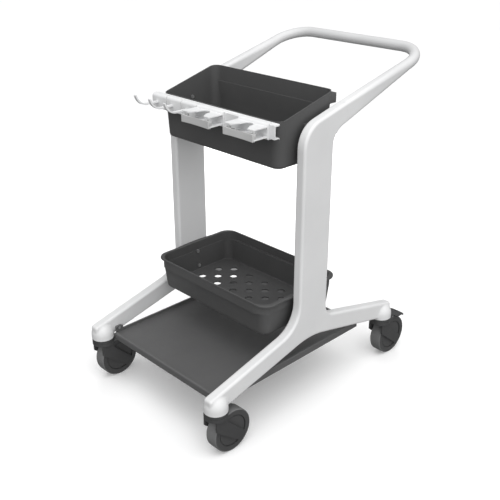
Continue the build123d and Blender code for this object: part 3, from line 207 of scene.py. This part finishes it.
def handle_shade_paint(tree):
    """Frame white at the arms' roots, and in step with the place along Y a darker white at the grip:
    painted shade.
    """
    spot = add_node(tree, "ShaderNodeSeparateXYZ", Vector=object_place(tree))
    share = spread(tree, spot.outputs["Y"], ARM_ROOT_Y, GRIP_Y)
    # The darker white towards the grip is painted shade.
    return (shade_between(tree, share, FRAME_WHITE, GRIP_SHADED_WHITE),
            shade_between(tree, share, FRAME_WHITE_DEEP, GRIP_SHADED_WHITE_DEEP))


handle_white = moulded("handle_white", FRAME_WHITE, FRAME_WHITE_DEEP, FRAME_EDGE, **FRAME_FINISH,
                       paint=handle_shade_paint)
bin_grey = moulded("bin_grey", BIN_GREY, BIN_GREY_DEEP, BIN_EDGE,
                   roughness=0.52, gloss=0.36, grain_depth=0.22)
dress(handle_white, "handle")
dress(bin_grey, "handle_tongues")


# Top bin
# Deep open tray in dark grey polypropylene, injection moulded with a raised back, a stop band behind it
# and a ledge inside, held by two bolts a side.
dress(bin_grey, "top_bin")


# Bolts and screws
# Zinc-plated steel with low domed heads and fine turning marks. Bolts hold the bins to the posts from
# inside, and screws hold the shelf to the legs and the rail to the top bin.
STEEL = (0.74, 0.74, 0.745)
STEEL_DEEP = (0.56, 0.56, 0.565)
STEEL_GLOSS = 0.5
STAINS_TO_METRE = 90.0
MARK_STRETCH = (0.05, 1.0, 1.0)
MARK_STRENGTH = 0.15
MARK_HEIGHT = 0.0001
MARK_BRIGHTER = 0.08
MARK_DULLER = 0.10


def turned_steel(name, roughness, marks_to_metre):
    """Steel with fine turning marks: noise stretched along one axis shifts colour, gloss and height."""
    finish, tree, shader = new_finish(name, roughness, STEEL_GLOSS)
    shader.inputs["Metallic"].default_value = 1.0
    marks = cloud(tree, object_place(tree, MARK_STRETCH), marks_to_metre, detail=6.0, low=0.30, high=0.70)
    stain = cloud(tree, object_place(tree), STAINS_TO_METRE, detail=4.0)
    toned = shade_between(tree, marks, STEEL, STEEL_DEEP)
    feed(tree, shader.inputs["Base Color"], shade_between(tree, stain, toned, STEEL))
    sheen = spread(tree, marks, to_low=roughness - MARK_BRIGHTER, to_high=roughness + MARK_DULLER)
    feed(tree, shader.inputs["Roughness"], sheen)
    bump = add_node(tree, "ShaderNodeBump", Strength=MARK_STRENGTH, Distance=MARK_HEIGHT, Height=marks)
    feed(tree, shader.inputs["Normal"], bump.outputs["Normal"])
    return finish


bolt_steel = turned_steel("bolt_steel", roughness=0.46, marks_to_metre=2400.0)
dress(bolt_steel, "top_bin_bolts", "lower_bin_bolts", "shelf_screws", "rail_screws")


# Lower bin
# Shallow drained tray in the same dark grey polypropylene, with a rolled rim that bows out to the posts,
# a wider band under it and staggered drain holes in its floor.
dress(bin_grey, "lower_bin")


# Base shelf
# Shallow tray between the legs, in a slightly paler grey polypropylene, ribbed underneath, with its
# corners cut round the caster sockets and a screwed tab at each leg.
SHELF_GREY = (0.112, 0.1123, 0.1129)
SHELF_GREY_DEEP = (0.1055, 0.1058, 0.1064)
SHELF_EDGE = (0.150, 0.151, 0.153)
shelf_grey = moulded("shelf_grey", SHELF_GREY, SHELF_GREY_DEEP, SHELF_EDGE,
                     roughness=0.50, gloss=0.42, grain_depth=0.28, grain=1100.0)
dress(shelf_grey, "base_shelf")


# Accessory rail, hooks and tool holders
# White glass-filled rail screwed to the top bin's front wall, with clip-on hooks and tool holders in
# the same white, snapped over the rail's flanges.
ACCESSORY_WHITE = (0.790, 0.793, 0.797)
ACCESSORY_WHITE_DEEP = (0.740, 0.745, 0.752)
ACCESSORY_EDGE = (0.86, 0.86, 0.86)
accessory_white = moulded("accessory_white", ACCESSORY_WHITE, ACCESSORY_WHITE_DEEP, ACCESSORY_EDGE,
                          roughness=0.36, gloss=0.5, grain_depth=0.08, grain=1900.0, radius=0.0006)
dress(accessory_white, "accessory_rail", "hook_1", "hook_2", "hook_3", "tool_holder_1", "tool_holder_2")


# Grip bands
# Soft pale rubber bands across the mouths of the tool holders, moulded with a hollow ribbed front, a
# block at each end and behind it a sleeve that slips over the holder's pin.
BAND_RUBBER = (0.560, 0.562, 0.560)
BAND_RUBBER_DEEP = (0.490, 0.492, 0.490)
BAND_EDGE = (0.64, 0.64, 0.64)
BAND_DEPTH = 0.0045
BAND_CORNER = 0.0010
BAND_HOLLOW = 0.0030
BAND_BLOCK = 0.0100
BAND_ALONG = 241
BAND_AROUND = 56
BLOCK_PROUD = 0.0012
BLOCK_FADE = 0.0020
RIB_PITCH = 0.0044
RIB_HEIGHT = 0.0003
SLEEVE_R = 0.0055
SLEEVE_HOLE = 0.00305
SLEEVE_IN = 0.0090
SLEEVE_FOOT = 0.00495
SLEEVE_EDGE = 0.0006
SLEEVE_SQUARE = 0.22
SLEEVE_AROUND = 72
FLAT_SLIDE = 4.0
END_STEPS = 7


def new_piece(name, finish, points, faces):
    """One smooth object at the origin from points in metres and faces."""
    mesh = bpy.data.meshes.new(name)
    mesh.from_pydata(points.tolist(), [], faces)
    mesh.shade_smooth()
    mesh.materials.append(finish)
    piece = bpy.data.objects.new(name, mesh)
    bpy.context.scene.collection.objects.link(piece)
    return piece


def grid_faces(rows, columns, ring):
    """Faces of a grid whose columns close, one to a cell.

    A ring's last row meets its first, and a bar has a face over each end.
    """
    spot = np.arange(rows * columns).reshape(rows, columns)
    near = spot if ring else spot[:-1]
    far = np.roll(spot, -1, axis=0) if ring else spot[1:]
    cells = np.stack([near, far, np.roll(far, -1, axis=1), np.roll(near, -1, axis=1)], axis=-1)
    ends = [] if ring else [spot[0], spot[-1, ::-1]]
    return [cells.reshape(-1, 4), *[end.reshape(1, -1) for end in ends]]


def surface_piece(name, finish, *shells):
    """One object from grids of points in metres, each given with whether it is a ring."""
    points = np.concatenate([grid.reshape(-1, 3) for grid, ring in shells])
    faces = []
    start = 0
    for grid, ring in shells:
        for group in grid_faces(*grid.shape[:2], ring):
            faces += (group + start).tolist()
        start += grid.shape[0] * grid.shape[1]
    return new_piece(name, finish, points, faces)


def corners_of(node_name):
    """Low and high corner of a CAD node's box, as arrays."""
    return [np.array(corner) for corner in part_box(node_name)]


def rounded_bar(half, corner, along, around):
    """Bar along X about the origin, with a rounded box for its section and rounded ends.

    Round the section a point is a corner of the inner box, sliding along the flats, plus a step of the
    corner's radius in its own direction. Near an end the section draws in by the sag of a circle.
    """
    to_end = half[0] - corner * (1 - np.sin(np.linspace(0, np.pi / 2, END_STEPS)))
    middle = np.linspace(-to_end[0], to_end[0], along)
    x = np.union1d(middle, np.concatenate([-to_end, to_end]))[:, None]
    turn = -np.linspace(0, 2 * np.pi, around, endpoint=False)[None, :]
    past = np.clip(np.abs(x) - (half[0] - corner), 0, corner)
    step = np.sqrt(corner ** 2 - past ** 2)
    y = (half[1] - corner) * np.clip(FLAT_SLIDE * np.cos(turn), -1, 1) + step * np.cos(turn)
    z = (half[2] - corner) * np.clip(FLAT_SLIDE * np.sin(turn), -1, 1) + step * np.sin(turn)
    return np.stack(np.broadcast_arrays(x, y, z), axis=-1)


def ribs(along, pitch, height):
    """Rise from 0 to height and back once a pitch, by a cosine."""
    return height * (0.5 - 0.5 * np.cos(2 * np.pi * along / pitch))


def band_strip(low, high):
    """The band's front strip: a rounded bar with its front drawn in by a parabola, and ribs by a cosine.

    Between the end blocks it is also a little lower and thinner, faded in over a few millimetres.
    """
    half = np.array([high[0] - low[0], BAND_DEPTH, high[2] - low[2]]) / 2
    bar = rounded_bar(half, BAND_CORNER, BAND_ALONG, BAND_AROUND)
    x, y, z = bar[..., 0], bar[..., 1].copy(), bar[..., 2].copy()
    between = np.clip((half[0] - BAND_BLOCK - np.abs(x)) / BLOCK_FADE, 0, 1)
    at_front = np.clip(0.5 - y / half[1], 0, 1)
    at_top = np.clip(z / half[2], 0, 1)
    hollow = BAND_HOLLOW * np.clip(1 - (x / half[0]) ** 2, 0, 1)
    bar[..., 1] += at_front * (hollow + between * ribs(x, RIB_PITCH, RIB_HEIGHT))
    bar[..., 2] -= between * at_top * BLOCK_PROUD
    return bar + np.array([(low[0] + high[0]) / 2, low[1] + half[1], (low[2] + high[2]) / 2])


def band_sleeve(pin, low_z, high_z, back):
    """Sleeve round a pin: a ring whose section is a box with its outer corners eased off.

    In plan the outside is half a circle behind the pin, and in front a squared half circle that reaches
    the strip's back; the inside is the pin's circle.
    """
    turn = -np.linspace(0, 2 * np.pi, SLEEVE_AROUND, endpoint=False)
    side, ahead = np.cos(turn), np.sin(turn)
    square = np.where(ahead < 0, SLEEVE_SQUARE, 1.0)
    reach = np.where(ahead < 0, back, SLEEVE_R)
    outer = np.stack([SLEEVE_R * np.sign(side) * np.abs(side) ** square,
                      reach * np.sign(ahead) * np.abs(ahead) ** square], axis=-1)
    inner = SLEEVE_HOLE * np.stack([side, ahead], axis=-1)
    eased = outer * (1 - SLEEVE_EDGE / SLEEVE_R)
    rows = [(inner, low_z), (eased, low_z), (outer, low_z + SLEEVE_EDGE),
            (outer, high_z - SLEEVE_EDGE), (eased, high_z), (inner, high_z)]
    return np.stack([np.column_stack([plan + pin, np.full(len(plan), z)]) for plan, z in rows])


band_rubber = moulded("band_rubber", BAND_RUBBER, BAND_RUBBER_DEEP, BAND_EDGE,
                      roughness=0.66, gloss=0.30, grain_depth=0.20, grain=1300.0, radius=0.0006)
for number in (1, 2):
    low, high = corners_of(f"grip_band_{number}")
    strip_back = low[1] + BAND_DEPTH
    pin_y = high[1] - SLEEVE_R
    sleeves = [(band_sleeve(np.array([pin_x, pin_y]), low[2] + SLEEVE_FOOT, high[2] - BLOCK_PROUD,
                            pin_y - strip_back), True)
               for pin_x in (low[0] + SLEEVE_IN, high[0] - SLEEVE_IN)]
    band = surface_piece(f"band_{number}", band_rubber, (band_strip(low, high), False), *sleeves)
    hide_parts(f"grip_band_{number}")
    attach(band, "trolley")


# Caster forks
# Swivel forks in dark grey glass-filled nylon, moulded with a grooved round head and two raked cheeks,
# turning on steel bearings round steel stems that are pressed into the frames' sockets.
CORNERS = ("front_left", "front_right", "rear_left", "rear_right")
FORK_GREY = (0.0560, 0.0563, 0.0570)
FORK_GREY_DEEP = (0.0480, 0.0483, 0.0490)
FORK_EDGE = (0.0900, 0.0907, 0.0920)
CASTER_GRAIN = {"grain": 1600.0, "radius": 0.0008}
fork_grey = moulded("fork_grey", FORK_GREY, FORK_GREY_DEEP, FORK_EDGE,
                    roughness=0.46, gloss=0.45, grain_depth=0.25, **CASTER_GRAIN)
stem_steel = turned_steel("stem_steel", roughness=0.38, marks_to_metre=1800.0)
for corner in CORNERS:
    dress(fork_grey, f"fork_{corner}")
    dress(stem_steel, f"caster_stem_{corner}", f"swivel_bearing_{corner}", f"axle_pin_{corner}")


# Wheels
# Dark grey nylon cores, moulded with a hub and a side ring, turning on the axle pins in plain white
# plastic bushes.
CORE_GREY = (0.0650, 0.0652, 0.0657)
CORE_GREY_DEEP = (0.0580, 0.0582, 0.0587)
CORE_EDGE = (0.0980, 0.0984, 0.0992)
BUSH_WHITE = (0.70, 0.69, 0.66)
BUSH_WHITE_DEEP = (0.64, 0.63, 0.60)
BUSH_EDGE = (0.76, 0.75, 0.72)
core_grey = moulded("core_grey", CORE_GREY, CORE_GREY_DEEP, CORE_EDGE,
                    roughness=0.46, gloss=0.45, grain_depth=0.22, **CASTER_GRAIN)
bush_plastic = moulded("bush_plastic", BUSH_WHITE, BUSH_WHITE_DEEP, BUSH_EDGE,
                       roughness=0.30, gloss=0.5, grain_depth=0.05)
for corner in CORNERS:
    dress(core_grey, f"wheel_core_{corner}")
    dress(bush_plastic, f"wheel_bushes_{corner}")


# Wheel treads
# Mid-grey rubber rings moulded round the wheel cores, slightly crowned, with round shoulders, a fine
# moulding line and a matt running face that is paler than the flanks.
TREAD_GREY = (0.205, 0.206, 0.207)
TREAD_GREY_DEEP = (0.140, 0.141, 0.143)
TREAD_FLANK = (0.054, 0.0543, 0.0548)
TREAD_EDGE = (0.21, 0.21, 0.212)
TREAD_SEAT = 0.0035
TREAD_SHOULDER = 0.0025
TREAD_CROWN = 0.0004
TREAD_ACROSS = 61
TREAD_AROUND = 168
SEAT_ACROSS = 14
FACE_FALL = 0.0022
FACE_FADE = 0.0012
FLASH_HEIGHT = 0.00012
FLASH_WIDTH = 0.0003
FLASH_REACH = 2.5
FLASH_ACROSS = 11
SOFT_GRAIN = 1400.0


def tread_ring(low, high):
    """Tread: a profile carried round the axle, and for each point how far it is on the running face.

    Outside, the radius falls from the middle by a parabola and near each side by a quarter circle, and a
    bell curve leaves the moulding line standing in the middle. Inside, the radius is the core's.
    """
    middle = (low + high) / 2
    half, radius = (high - low)[[0, 2]] / 2
    across = np.union1d(half * np.sin(np.linspace(-np.pi / 2, np.pi / 2, TREAD_ACROSS)),
                        FLASH_WIDTH * np.linspace(-FLASH_REACH, FLASH_REACH, FLASH_ACROSS))
    past = np.clip(np.abs(across) - (half - TREAD_SHOULDER), 0, TREAD_SHOULDER)
    shoulder = TREAD_SHOULDER - np.sqrt(TREAD_SHOULDER ** 2 - past ** 2)
    flash = FLASH_HEIGHT * (1 - np.exp(-(across / FLASH_WIDTH) ** 2))
    outside = radius - TREAD_CROWN * (across / half) ** 2 - shoulder - flash
    seat = np.linspace(half, -half, SEAT_ACROSS)
    profile_x = np.concatenate([across, seat])
    profile_r = np.concatenate([outside, np.full(len(seat), radius - TREAD_SEAT)])
    turn = np.linspace(0, 2 * np.pi, TREAD_AROUND, endpoint=False)[:, None]
    ring = np.stack(np.broadcast_arrays(middle[0] + profile_x, middle[1] + profile_r * np.cos(turn),
                                        middle[2] + profile_r * np.sin(turn)), axis=-1)
    running = np.clip((profile_r - (radius - FACE_FALL)) / FACE_FADE, 0, 1)
    return ring, np.tile(running, len(turn))


def tread_paint(tree):
    """Flank grey to running-face grey by the tread's own attribute, and the deep grey that clouds it."""
    running = add_node(tree, "ShaderNodeAttribute", {"attribute_name": "running_face"})
    return shade_between(tree, running.outputs["Fac"], TREAD_FLANK, TREAD_GREY), TREAD_GREY_DEEP


tread_rubber = moulded("tread_rubber", TREAD_GREY, TREAD_GREY_DEEP, TREAD_EDGE,
                       roughness=0.68, gloss=0.30, grain_depth=0.35, grain=SOFT_GRAIN, paint=tread_paint)
for corner in CORNERS:
    ring, running = tread_ring(*corners_of(f"wheel_tread_{corner}"))
    tread = surface_piece(f"tread_{corner}", tread_rubber, (ring, True))
    tread.data.attributes.new("running_face", "FLOAT", "POINT").data.foreach_set("value", running)
    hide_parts(f"wheel_tread_{corner}")
    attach(tread, f"wheel_{corner}")


# Wheel brakes
# Foot pedals in the forks' nylon, hinged on steel pins at the two rear casters, with a ribbed black
# rubber pad bonded under each pedal that comes down on the tread.
BRAKED = ("rear_left", "rear_right")
PAD_BLACK = (0.020, 0.020, 0.021)
PAD_BLACK_DEEP = (0.016, 0.016, 0.017)
PAD_EDGE = (0.030, 0.030, 0.031)
PAD_CORNER = 0.0007
PAD_RIB_PITCH = 0.0030
PAD_RIB_DEPTH = 0.0007
PAD_ALONG = 97
PAD_AROUND = 48


def ribbed_pad(low, high):
    """Brake pad: a rounded bar along Y whose underside rises between its ribs by a cosine of Y."""
    half = (high - low) / 2
    bar = rounded_bar(half[[1, 0, 2]], PAD_CORNER, PAD_ALONG, PAD_AROUND)
    under = np.clip(-2 * bar[..., 2] / half[2], 0, 1)
    bar[..., 2] += under * ribs(bar[..., 0], PAD_RIB_PITCH, PAD_RIB_DEPTH)
    return bar[:, ::-1, [1, 0, 2]] + (low + high) / 2


pad_rubber = moulded("pad_rubber", PAD_BLACK, PAD_BLACK_DEEP, PAD_EDGE,
                     roughness=0.72, gloss=0.28, grain_depth=0.30, grain=SOFT_GRAIN)
for corner in BRAKED:
    dress(fork_grey, f"brake_pedal_{corner}")
    dress(stem_steel, f"pedal_pin_{corner}")
    pad_grid = ribbed_pad(*corners_of(f"brake_pad_{corner}"))
    pad = surface_piece(f"pad_{corner}", pad_rubber, (pad_grid, False))
    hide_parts(f"brake_pad_{corner}")
    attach(pad, f"pedal_{corner}")


# Floor
# Pale seamless studio floor, matt, with a faint cloud in its tone. It takes shadows but throws no light
# back up, as a sweep that is cut out does.
FLOOR_HALF = 40.0
FLOOR_WHITE = (0.93, 0.93, 0.93)
FLOOR_DEEP = (0.915, 0.915, 0.918)
FLOOR_CLOUDS_TO_METRE = 0.9
FLOOR_GLOW = 0.12
PURE_WHITE = (1.0, 1.0, 1.0)
floor_finish, floor_tree, floor_shader = new_finish("floor_white", roughness=0.85, gloss=0.15)
floor_cloud = cloud(floor_tree, object_place(floor_tree), FLOOR_CLOUDS_TO_METRE)
floor_tone = shade_between(floor_tree, floor_cloud, FLOOR_WHITE, FLOOR_DEEP)
feed(floor_tree, floor_shader.inputs["Base Color"], floor_tone)
feed(floor_tree, floor_shader.inputs["Emission Color"], PURE_WHITE)
feed(floor_tree, floor_shader.inputs["Emission Strength"], FLOOR_GLOW)
floor_corners = FLOOR_HALF * np.array([(-1, -1, 0), (1, -1, 0), (1, 1, 0), (-1, 1, 0)])
floor = new_piece("studio_floor", floor_finish, floor_corners, [(0, 1, 2, 3)])
floor.visible_diffuse = False
floor.visible_glossy = False


# Backdrop
# White paper wall all round, far off on the floor, so that low views end in white too. Only the eye sees
# it: it throws no light, reflection or shadow on the trolley.
WALL_R = 38.0
WALL_HEIGHT = 40.0
WALL_SIDES = 64
WALL_GLOW = 1.0
PURE_BLACK = (0.0, 0.0, 0.0)
wall_finish, wall_tree, wall_shader = new_finish("backdrop_white", roughness=1.0, gloss=0.0)
feed(wall_tree, wall_shader.inputs["Base Color"], PURE_BLACK)
feed(wall_tree, wall_shader.inputs["Emission Color"], PURE_WHITE)
feed(wall_tree, wall_shader.inputs["Emission Strength"], WALL_GLOW)
wall_turn = np.linspace(0, 2 * np.pi, WALL_SIDES, endpoint=False)
wall_foot = WALL_R * np.stack([np.cos(wall_turn), np.sin(wall_turn), np.zeros(WALL_SIDES)], axis=-1)
wall_points = np.concatenate([wall_foot, wall_foot + [0, 0, WALL_HEIGHT]])
spot = np.arange(WALL_SIDES)
beside = np.roll(spot, -1)
wall_faces = np.stack([beside, spot, spot + WALL_SIDES, beside + WALL_SIDES], axis=-1)
wall = new_piece("backdrop", wall_finish, wall_points, wall_faces.tolist())
for rays in ("diffuse", "glossy", "transmission", "volume_scatter", "shadow"):
    setattr(wall, f"visible_{rays}", False)


# Studio light
# A white tent lit from above and a little from the right: even light from all round that rises smoothly
# towards the tent's bright side, one wide softbox overhead that reaches into the bins, and a low fill
# behind on the left, which makes no reflections.
TENT_EVEN = 0.20
TENT_RISE = 1.48
TENT_TOWARDS = (0.72, -0.36, 1.0)
SOFTBOX_SIDE = 1.6
SOFTBOX_AIM = Vector((0.0, 0.0, 0.5))
SOFTBOXES = {"overhead": (13.0, (0.60, -0.50, 2.60)), "fill": (22.0, (-1.80, 1.60, 0.80))}

room = bpy.data.worlds.new("room")
bpy.context.scene.world = room
room.use_nodes = True
tent = room.node_tree
tent_light = tent.nodes["Background"]
direction = add_node(tent, "ShaderNodeTexCoord")
facing = reckon(tent, "ShaderNodeVectorMath", "DOT_PRODUCT", direction.outputs["Generated"],
                Vector(TENT_TOWARDS).normalized())
feed(tent, tent_light.inputs["Color"], PURE_WHITE)
feed(tent, tent_light.inputs["Strength"],
     spread(tent, facing, to_low=TENT_EVEN, to_high=TENT_EVEN + TENT_RISE))

for name, (watts, place) in SOFTBOXES.items():
    lamp = bpy.data.lights.new(name, "AREA")
    lamp.energy = watts
    lamp.size = SOFTBOX_SIDE
    softbox = bpy.data.objects.new(name, lamp)
    softbox.location = place
    softbox.rotation_euler = (SOFTBOX_AIM - softbox.location).to_track_quat("-Z", "Y").to_euler()
    softbox.visible_camera = False
    softbox.visible_glossy = name != "fill"
    bpy.context.scene.collection.objects.link(softbox)
bpy.context.scene.view_settings.view_transform = "Standard"


# Camera
# Stands at the front right, above the handle, and looks down through a slightly long lens, with no
# shift, so that other views keep the whole trolley in the picture.
EYE = (1.4741, -1.4688, 1.3536)
EYE_TURN = 0.7973
EYE_FALL = 0.4365
LENS_MM = 55.08
SENSOR_MM = 36.0
eye_lens = bpy.data.cameras.new("eye")
eye_lens.sensor_width = SENSOR_MM
eye_lens.lens = LENS_MM
eye = bpy.data.objects.new("eye", eye_lens)
eye.location = EYE
eye.rotation_euler = (math.pi / 2 - EYE_FALL, 0.0, EYE_TURN)
bpy.context.scene.collection.objects.link(eye)
bpy.context.scene.camera = eye
